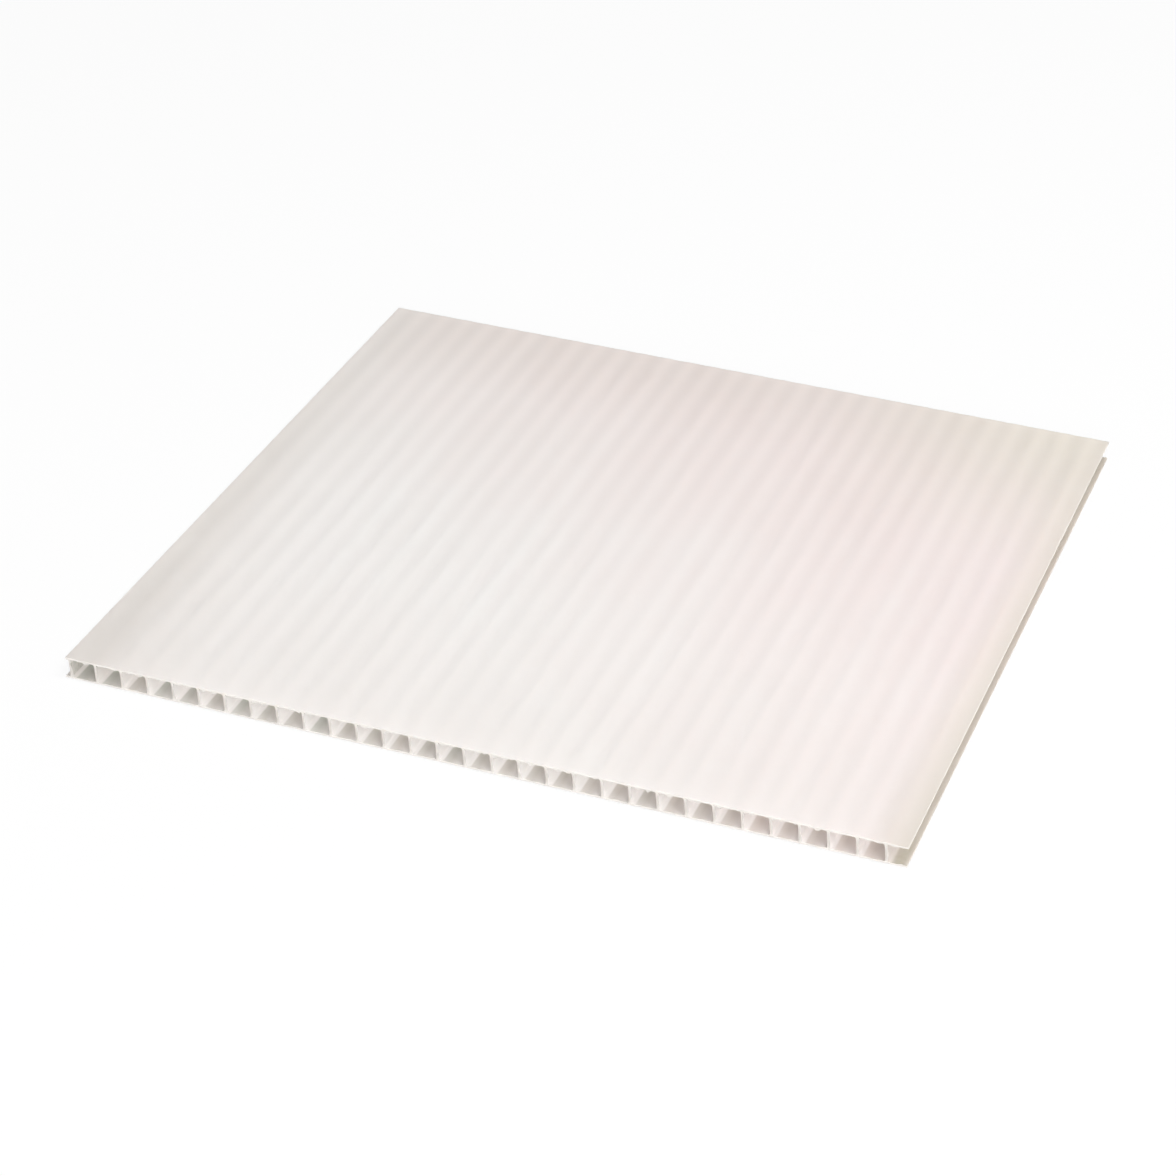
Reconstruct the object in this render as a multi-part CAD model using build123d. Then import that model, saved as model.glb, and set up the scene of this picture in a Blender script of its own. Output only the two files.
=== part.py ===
from build123d import *
import math
import os

# Twin-wall polycarbonate sheet, cut square and lying flat. X runs across the ribs, Y along the
# flutes from the front cut end to the back one, and Z up. The origin is the centre of the underside.
# Sizes are in millimetres.

# The piece as cut from stock
sheet_width = 304.8
sheet_length = 304.8
first_rib_inset = 1.6

# The extruded section. The inset and the pitch are taken at mid height, because the ribs lean:
# each has its foot to the right of its head, by the lean.
sheet_thickness = 8.0
skin_thickness = 0.55
rib_thickness = 0.5
rib_pitch = 9.85
rib_lean = 0.75
root_radius = 0.8

# What follows from those sizes
flute_width = rib_pitch - rib_thickness
flute_height = sheet_thickness - 2 * skin_thickness
mid_height = sheet_thickness / 2
first_rib_left = -sheet_width / 2 + first_rib_inset
flutes_left_of_first_rib = math.ceil(first_rib_inset / rib_pitch)
flutes_right_of_first_rib = math.ceil((sheet_width - first_rib_inset - rib_thickness) / rib_pitch)


def flute_middles():
    """Middle of each flute in the section. The flutes keep the pitch of the endless stock. A flute
    that a side cut went through runs past that edge: on the left only its last part is inside the
    sheet, as a narrow lip beyond the first rib, and on the right the sheet ends in an open channel."""
    numbers = range(-flutes_left_of_first_rib, flutes_right_of_first_rib)
    first_middle = first_rib_left + rib_thickness + flute_width / 2
    return [(first_middle + number * rib_pitch, mid_height) for number in numbers]


def flute_opening():
    """One flute of the section about its own middle, between two leaning ribs, with the radius that
    the die leaves at each rib's root."""
    half_width = flute_width / 2
    half_height = flute_height / 2
    half_lean = rib_lean / 2
    head_left = (-half_width - half_lean, half_height)
    head_right = (half_width - half_lean, half_height)
    foot_right = (half_width + half_lean, -half_height)
    foot_left = (-half_width + half_lean, -half_height)
    with BuildSketch() as opening:
        Polygon(head_left, head_right, foot_right, foot_left, align=None)
        fillet(opening.vertices(), root_radius)
    return opening.sketch


def sheet_section():
    """The section that the die gives the sheet: two skins and the ribs between them."""
    with BuildSketch(Plane.XZ) as section:
        with Locations((0, mid_height)):
            Rectangle(sheet_width, sheet_thickness)
        with Locations(*flute_middles()):
            add(flute_opening(), mode=Mode.SUBTRACT)
    return section.sketch


def multiwall_sheet():
    """The section drawn out along the flutes, with both ends cut square."""
    return extrude(sheet_section(), amount=sheet_length / 2, both=True)


os.makedirs("parts", exist_ok=True)
export_step(multiwall_sheet(), "parts/multiwall_sheet.step")
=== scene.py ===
import bmesh
import bpy
import math
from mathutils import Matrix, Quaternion, Vector, noise


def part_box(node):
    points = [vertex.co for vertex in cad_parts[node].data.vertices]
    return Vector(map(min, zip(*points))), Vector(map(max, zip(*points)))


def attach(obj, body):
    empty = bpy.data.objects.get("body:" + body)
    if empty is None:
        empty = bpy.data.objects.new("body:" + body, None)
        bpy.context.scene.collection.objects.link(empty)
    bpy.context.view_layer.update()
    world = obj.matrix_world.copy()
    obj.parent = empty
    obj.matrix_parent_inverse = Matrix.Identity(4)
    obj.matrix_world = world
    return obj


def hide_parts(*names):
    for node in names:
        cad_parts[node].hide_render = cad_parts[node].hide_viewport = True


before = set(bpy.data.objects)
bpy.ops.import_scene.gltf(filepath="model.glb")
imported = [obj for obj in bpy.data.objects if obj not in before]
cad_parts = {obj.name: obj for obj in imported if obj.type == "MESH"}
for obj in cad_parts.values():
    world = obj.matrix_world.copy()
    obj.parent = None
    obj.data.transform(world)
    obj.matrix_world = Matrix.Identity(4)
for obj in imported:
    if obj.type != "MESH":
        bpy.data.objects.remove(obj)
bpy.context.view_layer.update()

# The sheet's section
# Opal polycarbonate, extruded in one piece: a top skin, a bottom skin and ribs between them. The
# ribs lean a little, each with its foot to the right of its head, and have a small root radius.

MM = 0.001
low, high = (Vector(corner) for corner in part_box("multiwall_sheet"))
length = high.y - low.y
thickness = high.z - low.z
skin = 0.55 * MM
rib = 0.5 * MM
pitch = 9.85 * MM
rib_lean = 0.75 * MM
root_radius = 0.8 * MM
first_rib_inset = 1.6 * MM

first_rib = low.x + first_rib_inset
flute_width = pitch - rib
flute_height = thickness - 2 * skin
closed_flutes = math.ceil((high.x - first_rib - rib) / pitch) - 1
floor_height = low.z + skin
ceiling_height = high.z - skin
middle_height = (low.z + high.z) / 2
wall_foot = floor_height + root_radius
wall_head = ceiling_height - root_radius

skin_steps = 8
wall_steps = 4
corner_steps = 4
lip_steps = 2


def at(across, up):
    """A point of the section."""
    return Vector((across, up))


def along(start, end, steps):
    """Points from start up to, but not including, end."""
    return [start.lerp(end, n / steps) for n in range(steps)]


def corner(middle, start_angle):
    """A quarter turn of root radius, clockwise seen from the front."""
    points = []
    for n in range(corner_steps):
        angle = math.radians(start_angle - 90 * n / corner_steps)
        points.append(middle + root_radius * at(math.cos(angle), math.sin(angle)))
    return points


def flute_outline(left):
    """One closed flute: walls, ceiling and floor with a root radius at each corner, clockwise."""
    right = left + flute_width
    inner_left = left + root_radius
    inner_right = right - root_radius
    outline = along(at(left, wall_foot), at(left, wall_head), wall_steps)
    outline += corner(at(inner_left, wall_head), 180)
    outline += along(at(inner_left, ceiling_height), at(inner_right, ceiling_height), skin_steps)
    outline += corner(at(inner_right, wall_head), 90)
    outline += along(at(right, wall_head), at(right, wall_foot), wall_steps)
    outline += corner(at(inner_right, wall_foot), 0)
    outline += along(at(inner_right, floor_height), at(inner_left, floor_height), skin_steps)
    outline += corner(at(inner_left, wall_foot), -90)
    return outline


def sheet_outline():
    """The outside of the section: both skins' outer faces, the open channel at the right edge and
    the narrow lip beyond the first rib, anticlockwise from the lower left."""
    face_steps = round((high.x - low.x) / pitch * skin_steps)
    last_wall = first_rib + rib + closed_flutes * pitch
    channel = last_wall + root_radius
    lip = first_rib - root_radius
    outline = along(at(low.x, low.z), at(high.x, low.z), face_steps)
    outline += [at(high.x, low.z)]
    outline += along(at(high.x, floor_height), at(channel, floor_height), skin_steps)
    outline += corner(at(channel, wall_foot), -90)
    outline += along(at(last_wall, wall_foot), at(last_wall, wall_head), wall_steps)
    outline += corner(at(channel, wall_head), 180)
    outline += along(at(channel, ceiling_height), at(high.x, ceiling_height), skin_steps)
    outline += [at(high.x, ceiling_height)]
    outline += along(at(high.x, high.z), at(low.x, high.z), face_steps)
    outline += [at(low.x, high.z)]
    outline += along(at(low.x, ceiling_height), at(lip, ceiling_height), lip_steps)
    outline += corner(at(lip, wall_head), 90)
    outline += along(at(first_rib, wall_head), at(first_rib, wall_foot), wall_steps)
    outline += corner(at(lip, wall_foot), 0)
    outline += along(at(lip, floor_height), at(low.x, floor_height), lip_steps)
    outline += [at(low.x, floor_height)]
    return outline


# The drawn length
# The section is drawn out along the flutes. Its skins sink between the ribs as they cool, and its
# ribs waver. The saw that cut both ends left them slightly uneven, with burrs along the edges.

hair = 0.01 * MM
skin_sink = 0.09 * MM
sink_waver = 0.5
rib_bow = 0.10 * MM
lean_waver = 0.3
saw_bite = 0.12 * MM
mean_bite = 0.4
burr_depth = 0.5 * MM
burr_hang = 1.9 * MM
burr_rise = 0.4 * burr_hang
burr_width = 0.45 * MM
burr_raggedness = 1.5
middle_steps = 18
sinks_per_flute = 7.3
sinks_per_metre = 9.0
leans_per_rib = 0.83
leans_per_metre = 4.0
bows_per_rib = 1.7
bows_per_metre = 6.0
grains_per_metre = 900
burrs_per_metre_across = 530
burrs_per_metre_up = 400
sharp_angle = math.radians(40)


def waver(across, onward, kind):
    """Smooth change between minus one and one. Each kind of unevenness has its own last number."""
    return noise.noise(Vector((across, onward, kind)))


def rib_count_to(x):
    """How many pitches x lies from the middle of the first rib."""
    return (x - first_rib - rib / 2) / pitch


def sink_at(x, y):
    """How far a skin sinks at x, y: nothing over a rib and most in the middle of a flute."""
    count = rib_count_to(x)
    uneven = 1 + sink_waver * waver(math.floor(count) * sinks_per_flute, y * sinks_per_metre, 0.5)
    return skin_sink * uneven * math.sin(math.pi * count) ** 2


def room_at_side(x):
    """Nought at either side of the sheet, rising to one over the width of the lip."""
    return max(0.0, min(1.0, (x - low.x) / first_rib_inset, (high.x - x) / first_rib_inset))


def inside(point):
    """True for a point on a flute, the channel or the lip's hollow, and false on the outer faces."""
    at_side = point.x < low.x + hair or point.x > high.x - hair
    return abs(point.y - middle_height) < thickness / 2 - hair and not at_side


def right_of_rib(point):
    """True on the flat of a rib's right-hand face."""
    on_flat = abs(point.y - middle_height) < (flute_height - root_radius) / 2
    return on_flat and rib_count_to(point.x) % 1.0 < 0.5


def settle(point, y):
    """The place in space of a section point at y, with the skins sunk and the ribs leaning."""
    above_middle = point.y - middle_height
    height = above_middle / (thickness / 2)
    place = Vector((point.x, y, point.y - sink_at(point.x, y) * height))
    if inside(point):
        count = rib_count_to(point.x)
        lean = rib_lean * (1 + lean_waver * waver(count * leans_per_rib, y * leans_per_metre, 4.0))
        bow = rib_bow * waver(count * bows_per_rib, y * bows_per_metre, 8.0)
        shift = bow * (1 - height * height) - lean * above_middle / flute_height
        place.x += shift * room_at_side(point.x)
    return place


def saw(place, point, depth, outward):
    """Uneven saw cut: the end face stands back here and there. Burrs hang off the top skin, stand up
    a little from the bottom one and spread to the right of each rib."""
    at_cut = 1 - depth
    grain = waver(point.x * grains_per_metre, point.y * grains_per_metre, outward * 3.0)
    place.y -= outward * saw_bite * max(0.0, mean_bite + grain) * at_cut
    if inside(point):
        ragged = waver(point.x * burrs_per_metre_across, point.y * burrs_per_metre_up, outward * 5.0)
        if abs(point.y - ceiling_height) < hair:
            place.z -= burr_hang * max(0.0, ragged) * at_cut
        elif abs(point.y - floor_height) < hair:
            place.z += burr_rise * max(0.0, ragged) * at_cut
        elif right_of_rib(point):
            place.x += burr_width * (1 + burr_raggedness * ragged) * at_cut
    return place


def stations():
    """Distances in from a cut end at which the section is placed, close together near the end."""
    near = [0.0, 0.2 * MM, burr_depth, 1.2 * MM, 3 * MM, 7 * MM]
    middle = [near[-1] + (length - 2 * near[-1]) * n / middle_steps for n in range(1, middle_steps)]
    return near + middle + [length - distance for distance in reversed(near)]


def draw_out(bm, outline):
    """Rings of one outline at every station, joined into a tube. Returns the first and last ring."""
    rings = []
    for distance in stations():
        ring = []
        for point in outline:
            place = settle(point, low.y + distance)
            if distance < burr_depth:
                place = saw(place, point, distance / burr_depth, -1)
            elif length - distance < burr_depth:
                place = saw(place, point, (length - distance) / burr_depth, 1)
            ring.append(bm.verts.new(place))
        rings.append(ring)
    for ring, following in zip(rings, rings[1:]):
        for n in range(len(ring)):
            nxt = (n + 1) % len(ring)
            bm.faces.new((ring[n], ring[nxt], following[nxt], following[n]))
    return rings[0], rings[-1]


def close_end(bm, rings):
    """The sawn face: fills between the outside and the flutes, and marks it as sawn."""
    edges = [bm.edges.get((ring[n], ring[(n + 1) % len(ring)])) for ring in rings for n in range(len(ring))]
    filled = bmesh.ops.triangle_fill(bm, use_beauty=True, use_dissolve=False, edges=edges)
    for face in filled["geom"]:
        if isinstance(face, bmesh.types.BMFace):
            face.material_index = 1


def drawn_sheet():
    """The whole sheet as one closed mesh."""
    bm = bmesh.new()
    outlines = [sheet_outline()]
    for number in range(closed_flutes):
        outlines.append(flute_outline(first_rib + rib + number * pitch))
    ends = [draw_out(bm, outline) for outline in outlines]
    close_end(bm, [front for front, back in ends])
    close_end(bm, [back for front, back in ends])
    bmesh.ops.recalc_face_normals(bm, faces=bm.faces)
    mesh = bpy.data.meshes.new("twin_wall_sheet")
    bm.to_mesh(mesh)
    bm.free()
    mesh.polygons.foreach_set("use_smooth", [True] * len(mesh.polygons))
    mesh.set_sharp_from_angle(angle=sharp_angle)
    return mesh


# The milky plastic
# Opal polycarbonate scatters light inside its thin skins. Part of the light that falls on them goes
# straight on through, so that it reaches the flutes.

scatter_depth = 1.2 * MM
polycarbonate_ior = 1.585
passed_by_top = 0.775
passed_by_bottom = 0.1
passed_by_rib = 0.4
passed_by_lip = 0.9


def calculate(tree, operation, *values):
    """The result of one sum on numbers and other nodes' results."""
    node = tree.nodes.new("ShaderNodeMath")
    node.operation = operation
    for socket, value in zip(node.inputs, values):
        if isinstance(value, bpy.types.NodeSocket):
            tree.links.new(value, socket)
        else:
            socket.default_value = value
    return node.outputs[0]


def product(tree, first, *others):
    """Results multiplied together."""
    for other in others:
        first = calculate(tree, "MULTIPLY", first, other)
    return first


def fade(tree, value, start, end, start_result, end_result):
    """An even passage from one result to another while the value goes from start to end."""
    node = tree.nodes.new("ShaderNodeMapRange")
    numbers = {"From Min": start, "From Max": end, "To Min": start_result, "To Max": end_result}
    for name, number in numbers.items():
        if isinstance(number, bpy.types.NodeSocket):
            tree.links.new(number, node.inputs[name])
        else:
            node.inputs[name].default_value = number
    tree.links.new(value, node.inputs["Value"])
    return node.outputs["Result"]


def place_in_sheet(tree):
    """Where a point lies in the sheet, in metres from the middle of its underside."""
    return tree.nodes.new("ShaderNodeTexCoord").outputs["Object"]


def parts_of(tree, vector):
    """A vector's parts: across the ribs, onward along the flutes, and up."""
    node = tree.nodes.new("ShaderNodeSeparateXYZ")
    tree.links.new(vector, node.inputs[0])
    return node.outputs


def give_surface(tree, share, one, other):
    """Makes the surface a mix of two shaders, with a share of the other one."""
    mix = tree.nodes.new("ShaderNodeMixShader")
    tree.links.new(share, mix.inputs[0])
    tree.links.new(one.outputs[0], mix.inputs[1])
    tree.links.new(other.outputs[0], mix.inputs[2])
    tree.links.new(mix.outputs[0], tree.nodes["Material Output"].inputs["Surface"])


def light_passed(tree):
    """Share of the light that goes straight on: most at the lip, then the top skin, the ribs, and
    least at the bottom skin."""
    across, _, up = parts_of(tree, place_in_sheet(tree))
    normal = tree.nodes.new("ShaderNodeNewGeometry").outputs["True Normal"]
    level = calculate(tree, "ABSOLUTE", parts_of(tree, normal)["Z"])
    by_skin = fade(tree, up, low.z, high.z, passed_by_bottom, passed_by_top)
    by_face = fade(tree, level, 0, 1, passed_by_rib, by_skin)
    at_lip = calculate(tree, "LESS_THAN", across, first_rib + rib / 2)
    return calculate(tree, "MAXIMUM", by_face, product(tree, at_lip, passed_by_lip))


def milky_plastic(name):
    """A new material of the sheet's plastic, still without its colour."""
    material = bpy.data.materials.new(name)
    material.use_nodes = True
    tree = material.node_tree
    shader = tree.nodes["Principled BSDF"]
    shader.subsurface_method = "RANDOM_WALK"
    shader.inputs["Subsurface Weight"].default_value = 1.0
    shader.inputs["Subsurface Radius"].default_value = (1.0, 1.0, 1.0)
    shader.inputs["Subsurface Scale"].default_value = scatter_depth
    shader.inputs["IOR"].default_value = polycarbonate_ior
    path = tree.nodes.new("ShaderNodeLightPath")
    lighting = calculate(tree, "MAXIMUM", path.outputs["Is Shadow Ray"], path.outputs["Is Diffuse Ray"])
    through = tree.nodes.new("ShaderNodeBsdfTransparent")
    give_surface(tree, product(tree, lighting, light_passed(tree)), shader, through)
    return material


# The tone of the skins
# The plastic is warmer toward the back and the right, and darkened by painted shade along its
# edges, where it loses light. The ribs show through as weak bands of painted light and shade, and
# the die left faint streaks along the flutes.

front_cream = (0.95, 0.899, 0.868)
right_pink = (0.95, 0.819, 0.798)
# Colours of the painted shade along the back edge, the back right corner and the side edges.
back_shade_tan = (0.79, 0.722, 0.68)
corner_shade_olive = (0.83, 0.77, 0.69)
right_edge_shade_tan = (0.745, 0.695, 0.64)
left_edge_shade_grey = (0.79, 0.748, 0.712)

cream_until = -60 * MM
pink_from = 170 * MM
patch_shift = 90 * MM
back_fall = 150 * MM
back_fall_share = 0.32
back_rim = 60 * MM
back_rim_share = 0.46
corner_fall = 110 * MM
corner_rim = 10 * MM
right_rim = 16 * MM
right_rim_front_share = 1.05
right_rim_back_share = 0.75
left_fall = 50 * MM
left_fall_share = 0.5
left_rim = 20 * MM
left_rim_share = 0.6
left_front_share = 1.45
left_back_share = 0.65
front_fall = 90 * MM
front_brightness = 0.94
# Strength of the painted light and shade in bands over the ribs.
painted_rib_light_back = 0.03
painted_rib_light_front = 0.003
streaks_per_metre = 80.0
streak_dullest = 0.985
streak_brightest = 1.01
drawn_share = 0.03
cloud_low = 0.3
cloud_high = 0.7


def clouds(tree, vector, scale, detail):
    """Soft random patches between nought and one."""
    node = tree.nodes.new("ShaderNodeTexNoise")
    node.inputs["Scale"].default_value = scale
    node.inputs["Detail"].default_value = detail
    tree.links.new(vector, node.inputs["Vector"])
    return node.outputs["Fac"]


def drawn_clouds(tree, place, scale, detail):
    """Random patches drawn out along the flutes, as a die leaves them."""
    drawn = tree.nodes.new("ShaderNodeMapping")
    drawn.inputs["Scale"].default_value = (1.0, drawn_share, 1.0)
    tree.links.new(place, drawn.inputs["Vector"])
    return clouds(tree, drawn.outputs[0], scale, detail)


def blend(tree, share, one, other, way="MIX"):
    """A colour between two others, or one coloured by the other."""
    node = tree.nodes.new("ShaderNodeMix")
    node.data_type = "RGBA"
    node.blend_type = way
    for name, colour in {"A": one, "B": other}.items():
        if isinstance(colour, bpy.types.NodeSocket):
            tree.links.new(colour, node.inputs[name])
        else:
            node.inputs[name].default_value = (*colour, 1)
    tree.links.new(share, node.inputs["Factor"])
    return node.outputs["Result"]


def broad_tone(tree, across, onward, patches):
    """Cream at the front left, turning pinkish toward the back right in soft patches."""
    cornerward = calculate(tree, "ADD", across, onward)
    cornerward = calculate(tree, "MULTIPLY_ADD", patches, patch_shift, cornerward)
    warmth = fade(tree, cornerward, cream_until, pink_from, 0, 1)
    return blend(tree, warmth, front_cream, right_pink)


def painted_back_shade(tree, colour, across, onward):
    """The tone darkened by painted shade toward the back edge, olive in the back right corner."""
    by_back = fade(tree, onward, high.y - back_fall, high.y, 0, back_fall_share)
    by_rim = fade(tree, onward, high.y - back_rim, high.y, 0, back_rim_share)
    colour = blend(tree, calculate(tree, "ADD", by_back, by_rim), colour, back_shade_tan)
    near_right = fade(tree, across, high.x - corner_fall, high.x - corner_rim, 0, 1)
    near_back = fade(tree, onward, high.y - corner_fall, high.y - corner_rim, 0, 1)
    return blend(tree, product(tree, near_right, near_back), colour, corner_shade_olive)


def painted_side_shade(tree, colour, across, onward):
    """The tone darkened by painted shade along the right and the left edge, more at their front ends."""
    by_right = fade(tree, across, high.x - right_rim, high.x, 0, 1)
    to_back = fade(tree, onward, low.y, high.y, right_rim_front_share, right_rim_back_share)
    colour = blend(tree, product(tree, by_right, to_back), colour, right_edge_shade_tan)
    by_left = fade(tree, across, low.x + left_fall, low.x, 0, left_fall_share)
    by_rim = fade(tree, across, low.x + left_rim, low.x, 0, left_rim_share)
    by_left = calculate(tree, "ADD", by_left, by_rim)
    to_back = fade(tree, onward, low.y, high.y, left_front_share, left_back_share)
    return blend(tree, product(tree, by_left, to_back), colour, left_edge_shade_grey)


def painted_rib_light(tree, from_first, onward):
    """Painted light and shade in bands over the ribs, faint at the front and clearer at the back."""
    wave = calculate(tree, "COSINE", product(tree, from_first, 2 * math.pi / pitch))
    strength = fade(tree, onward, low.y, high.y, painted_rib_light_front, painted_rib_light_back)
    return calculate(tree, "MULTIPLY_ADD", wave, strength, 1 - painted_rib_light_back)


def dull_front(tree, onward, in_flutes):
    """Brightness that falls off toward the front on the outer faces, and not in the flutes."""
    by_front = fade(tree, onward, low.y + front_fall, low.y, 1, front_brightness)
    return calculate(tree, "MAXIMUM", by_front, in_flutes)


def die_streaks(tree, place):
    """Brightness in faint streaks along the flutes."""
    streaks = drawn_clouds(tree, place, streaks_per_metre, detail=1.0)
    return fade(tree, streaks, cloud_low, cloud_high, streak_dullest, streak_brightest)


# Flute floors and painted shade
# Painted shade darkens each flute's floor, in a tone a little different in each flute, but for a lit
# strip at each rib's foot. Speckled painted shade darkens the first flute's wall and the open channel.

# Tones of the painted shade on the flute floors.
greenish_floor_shade = (0.535, 0.575, 0.54)
brownish_floor_shade = (0.69, 0.66, 0.63)
# Colours of the speckled painted shade on the first flute's wall and in the open channel.
first_wall_shade = (0.47, 0.465, 0.425)
channel_shade = (0.49, 0.455, 0.375)
browner_per_metre = 1.5
change_per_flute = 0.73
lit_foot = 1.8 * MM
foot_fade = 0.7 * MM
shade_at_next_rib = 0.25
lit_end = 10 * MM
shade_at_end = 0.6
specks_per_metre = 400.0
thin_shade = 0.4
channel_shade_from = 6.0 * MM
channel_shade_full = 4.0 * MM
lit_edge_from = 1.4 * MM
lit_edge_to = 0.6 * MM
speckled_shade_front = 25 * MM
darkest_shade_front = 5 * MM
shade_farther_in = 0.3


def between_skins(tree, up):
    """One in the flutes, and nought on the outer faces."""
    below_ceiling = calculate(tree, "LESS_THAN", up, ceiling_height + skin / 2)
    above_floor = calculate(tree, "GREATER_THAN", up, floor_height - skin / 2)
    return product(tree, below_ceiling, above_floor)


def painted_floor_shade(tree, from_first, onward):
    """How much painted shade a point gets: only where it faces up, from the lit strip on, less
    again toward the next rib, and less at the front end."""
    normal = tree.nodes.new("ShaderNodeNewGeometry").outputs["Normal"]
    facing_up = fade(tree, parts_of(tree, normal)["Z"], 0.75, 0.99, 0, 1)
    in_pitch = calculate(tree, "FLOORED_MODULO", from_first, pitch)
    strip_end = rib / 2 + lit_foot
    past_foot = fade(tree, in_pitch, strip_end, strip_end + foot_fade, 0, 1)
    past_first = calculate(tree, "GREATER_THAN", from_first, 0.0)
    before_next = fade(tree, in_pitch, pitch / 2, pitch, 1, shade_at_next_rib)
    past_end = fade(tree, onward, low.y, low.y + lit_end, shade_at_end, 1)
    return product(tree, facing_up, past_foot, past_first, before_next, past_end)


def floor_shade_tone(tree, across, from_first):
    """The tone of the painted floor shade, a little different in each flute and browner toward the right.
    """
    number = calculate(tree, "FLOOR", calculate(tree, "DIVIDE", from_first, pitch))
    flute_number = tree.nodes.new("ShaderNodeCombineXYZ")
    tree.links.new(product(tree, number, change_per_flute), flute_number.inputs[0])
    by_flute = clouds(tree, flute_number.outputs[0], 1.0, detail=0.0)
    brownness = calculate(tree, "MULTIPLY_ADD", across, browner_per_metre, by_flute)
    return blend(tree, fade(tree, brownness, 0.2, 0.8, 0, 1), greenish_floor_shade, brownish_floor_shade)


def speckled_shade(tree, colour, place, in_flutes):
    """The tone with speckled painted shade on the first flute's left wall and in the open channel."""
    across, onward, _ = parts_of(tree, place)
    specks = fade(tree, clouds(tree, place, specks_per_metre, detail=3.0), 0.35, 0.65, thin_shade, 1)
    specks = product(tree, in_flutes, specks)
    on_wall = calculate(tree, "COMPARE", across, first_rib + rib + rib_lean / 4, rib_lean / 2)
    colour = blend(tree, product(tree, on_wall, specks), colour, first_wall_shade)
    in_channel = fade(tree, across, high.x - channel_shade_from, high.x - channel_shade_full, 0, 1)
    off_edge = fade(tree, across, high.x - lit_edge_to, high.x - lit_edge_from, 0, 1)
    by_front = fade(tree, onward, low.y + speckled_shade_front, low.y + darkest_shade_front, shade_farther_in, 1)
    return blend(tree, product(tree, in_channel, off_edge, by_front, specks), colour, channel_shade)


# Extruded faces
# All faces that the die made, outside and in the flutes. They have a soft, slightly patchy gloss
# and very fine lines along the flutes.

patches_per_metre = 22.0
die_lines_per_metre = 700.0
die_line_depth = 0.02 * MM
die_line_strength = 0.25
glossiest = 0.32
least_glossy = 0.37


def scaled(tree, colour, brightness):
    """A colour at another brightness."""
    node = tree.nodes.new("ShaderNodeVectorMath")
    node.operation = "SCALE"
    tree.links.new(colour, node.inputs[0])
    tree.links.new(brightness, node.inputs["Scale"])
    return node.outputs[0]


def opal_polycarbonate():
    """The milky plastic with the tone and the gloss of its extruded faces."""
    material = milky_plastic("opal_polycarbonate")
    tree = material.node_tree
    shader = tree.nodes["Principled BSDF"]
    place = place_in_sheet(tree)
    across, onward, up = parts_of(tree, place)
    from_first = calculate(tree, "SUBTRACT", across, first_rib + rib / 2)
    in_flutes = between_skins(tree, up)
    patches = clouds(tree, place, patches_per_metre, detail=2.0)

    colour = broad_tone(tree, across, onward, patches)
    # Painted shade along the back and side edges.
    colour = painted_back_shade(tree, colour, across, onward)
    colour = painted_side_shade(tree, colour, across, onward)
    # Painted shade on the flute floors, in a tone that differs from flute to flute.
    shaded = product(tree, painted_floor_shade(tree, from_first, onward), in_flutes)
    colour = blend(tree, shaded, colour, floor_shade_tone(tree, across, from_first), "MULTIPLY")
    # Speckled painted shade on the first flute's wall and in the open channel.
    colour = speckled_shade(tree, colour, place, in_flutes)
    # Painted light and shade in bands over the ribs.
    bands = painted_rib_light(tree, from_first, onward)
    brightness = product(tree, bands, dull_front(tree, onward, in_flutes), die_streaks(tree, place))
    tree.links.new(scaled(tree, colour, brightness), shader.inputs["Base Color"])

    roughness = fade(tree, patches, cloud_low, cloud_high, glossiest, least_glossy)
    tree.links.new(roughness, shader.inputs["Roughness"])
    die_lines = tree.nodes.new("ShaderNodeBump")
    die_lines.inputs["Strength"].default_value = die_line_strength
    die_lines.inputs["Distance"].default_value = die_line_depth
    heights = drawn_clouds(tree, place, die_lines_per_metre, detail=3.0)
    tree.links.new(heights, die_lines.inputs["Height"])
    tree.links.new(die_lines.outputs[0], shader.inputs["Normal"])
    return material


# Sawn ends
# The cut faces at the front and the back. The saw left them matt, gritty and duller than the
# extruded faces, most of all on the ribs.

sawn_skin_pale = (0.81, 0.78, 0.745)
sawn_skin_dull = (0.73, 0.695, 0.655)
sawn_rib = (0.67, 0.63, 0.595)
rib_head_reach = 3.4 * MM
rib_flat_reach = 1.8 * MM
grit_per_metre = 2500.0
sawn_scatter_depth = scatter_depth / 3
sawn_glossiest = 0.5
sawn_least_glossy = 0.7


def sawn_polycarbonate():
    """The milky plastic as the saw leaves it, with a tone that depends on the height."""
    material = milky_plastic("sawn_polycarbonate")
    tree = material.node_tree
    shader = tree.nodes["Principled BSDF"]
    shader.inputs["Subsurface Scale"].default_value = sawn_scatter_depth
    place = place_in_sheet(tree)
    grit = clouds(tree, place, grit_per_metre, detail=2.0)
    above_middle = calculate(tree, "SUBTRACT", parts_of(tree, place)["Z"], middle_height)
    from_middle = calculate(tree, "ABSOLUTE", above_middle)
    on_rib = fade(tree, from_middle, rib_head_reach, rib_flat_reach, 0, 1)
    skins = blend(tree, grit, sawn_skin_pale, sawn_skin_dull)
    tree.links.new(blend(tree, on_rib, skins, sawn_rib), shader.inputs["Base Color"])
    roughness = fade(tree, grit, cloud_low, cloud_high, sawn_glossiest, sawn_least_glossy)
    tree.links.new(roughness, shader.inputs["Roughness"])
    return material


# The finished sheet
# One square piece of stock, lying flat with its flutes running from front to back. Its mesh marks
# the sawn faces as the second material.

sheet = bpy.data.objects.new("twin_wall_sheet", drawn_sheet())
bpy.context.scene.collection.objects.link(sheet)
sheet.data.materials.append(opal_polycarbonate())
sheet.data.materials.append(sawn_polycarbonate())
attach(sheet, "root")
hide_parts("multiwall_sheet")

# The floor
# A large white table that the sheet lies flat on. It shows the camera plain white and keeps the
# sheet's shadow. It is set slightly low, so that it doesn't coincide with the sheet's underside.

floor_half = 3.0
floor_drop = 0.2 * MM
floor_white = 0.9
floor_glow_share = 0.85


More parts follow.
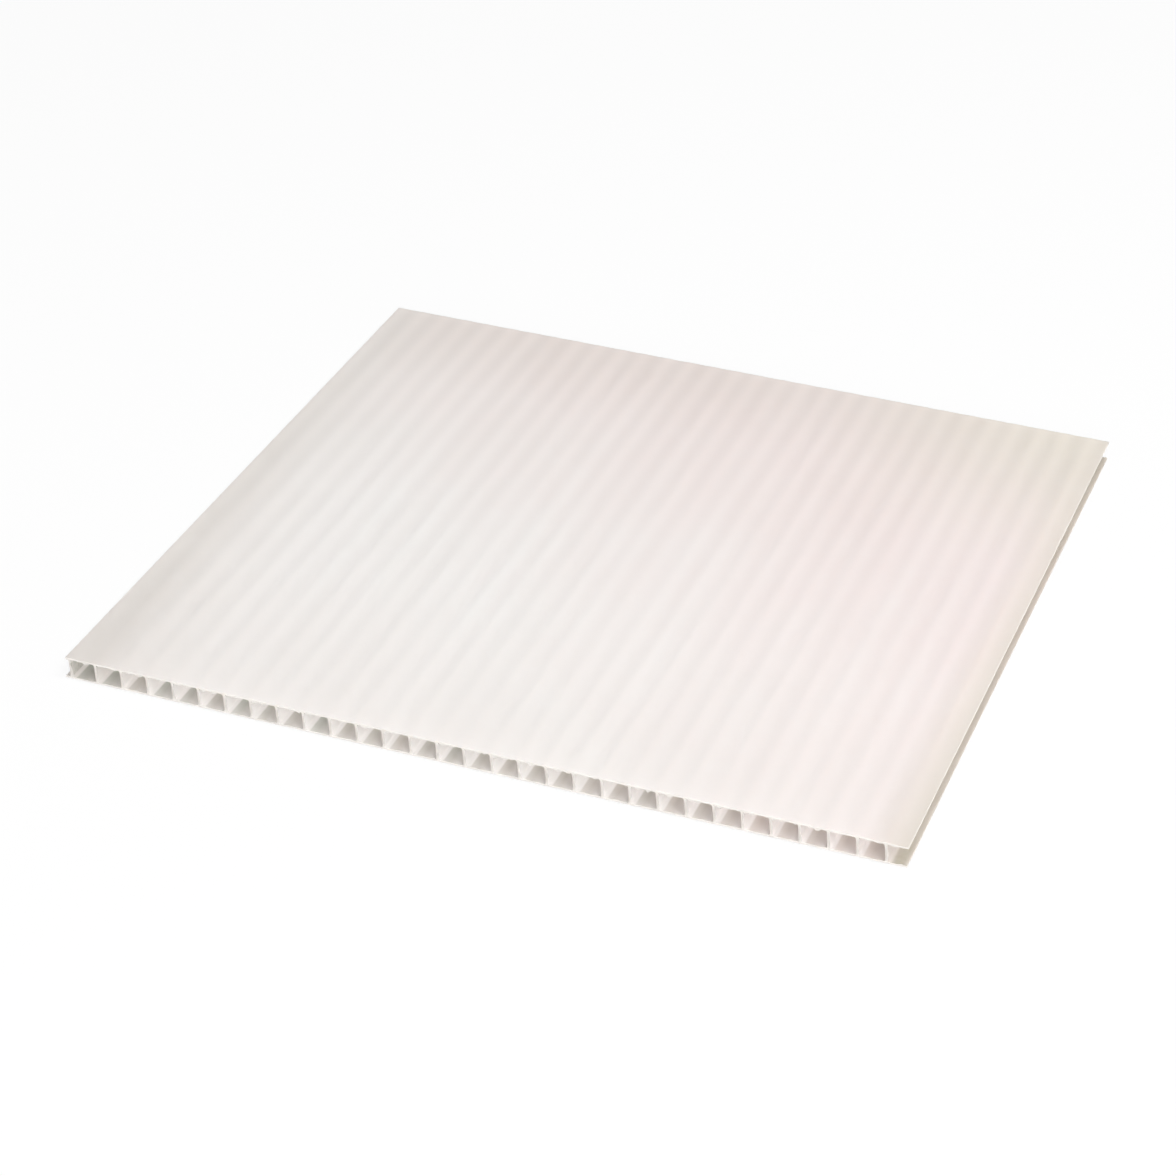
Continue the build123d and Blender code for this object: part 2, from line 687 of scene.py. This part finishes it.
def white_floor():
    """Matt white that also glows where it is seen: straight on, in a reflection or through glass."""
    material = bpy.data.materials.new("white_floor")
    material.use_nodes = True
    tree = material.node_tree
    tree.nodes.remove(tree.nodes["Principled BSDF"])
    matt = tree.nodes.new("ShaderNodeBsdfDiffuse")
    matt.inputs["Color"].default_value = (floor_white, floor_white, floor_white, 1)
    glow = tree.nodes.new("ShaderNodeEmission")
    glow.inputs["Color"].default_value = (1, 1, 1, 1)
    path = tree.nodes.new("ShaderNodeLightPath")
    seen = calculate(tree, "MAXIMUM", path.outputs["Is Camera Ray"], path.outputs["Is Glossy Ray"])
    seen = calculate(tree, "MAXIMUM", seen, path.outputs["Is Transmission Ray"])
    give_surface(tree, product(tree, seen, floor_glow_share), matt, glow)
    return material


corners = [(-floor_half, -floor_half, 0), (floor_half, -floor_half, 0),
           (floor_half, floor_half, 0), (-floor_half, floor_half, 0)]
floor_mesh = bpy.data.meshes.new("floor")
floor_mesh.from_pydata(corners, [], [(0, 1, 2, 3)])
floor = bpy.data.objects.new("floor", floor_mesh)
bpy.context.scene.collection.objects.link(floor)
floor.data.materials.append(white_floor())
floor.location.z = -floor_drop

# Studio light
# Five soft boxes and even room light: one overhead, one high at the front right, one low at the
# front and one low at the left, which shine into the open ends, and one at the right.

room_light = 0.17


def soft_box(name, place, size, power):
    """A square lamp at a place, turned to the middle of the sheet."""
    lamp = bpy.data.lights.new(name, "AREA")
    lamp.shape = "SQUARE"
    lamp.size = size
    lamp.energy = power
    box = bpy.data.objects.new(name, lamp)
    box.location = place
    box.rotation_euler = (-Vector(place)).to_track_quat("-Z", "Y").to_euler()
    bpy.context.scene.collection.objects.link(box)


soft_box("overhead_box", place=(0.54, -0.54, 2.97), size=1.1, power=24.5)
soft_box("high_front_box", place=(1.49, -1.49, 2.16), size=1.1, power=35)
soft_box("low_front_box", place=(0.9, -2.9, 0.95), size=0.8, power=30)
soft_box("left_box", place=(-1.9, -2.2, 0.9), size=0.8, power=11)
soft_box("right_box", place=(2.22, 0.15, 2.64), size=0.6, power=44)

room = bpy.data.worlds.new("room")
bpy.context.scene.world = room
room.use_nodes = True
room.node_tree.nodes["Background"].inputs["Color"].default_value = (1, 1, 1, 1)
room.node_tree.nodes["Background"].inputs["Strength"].default_value = room_light

# The camera
# It stands at the front, a little to the right, and looks down on the sheet through a long lens,
# tipped slightly to the right.

picture_side = 1176
lens_in_pixels = 3438.9
camera_place = Vector((0.3455, -1.0602, 0.6424))
camera_aim = Vector((0.0, -0.0362, 0.008))
camera_roll = math.radians(2.15)

camera_data = bpy.data.cameras.new("camera")
camera_data.sensor_fit = "HORIZONTAL"
camera_data.angle = 2 * math.atan(picture_side / 2 / lens_in_pixels)
camera = bpy.data.objects.new("camera", camera_data)
camera.location = camera_place
level_turn = (camera_aim - camera_place).to_track_quat("-Z", "Y")
camera.rotation_euler = (level_turn @ Quaternion((0, 0, 1), camera_roll)).to_euler()
bpy.context.scene.collection.objects.link(camera)
bpy.context.scene.camera = camera

bpy.context.scene.view_settings.view_transform = "Standard"
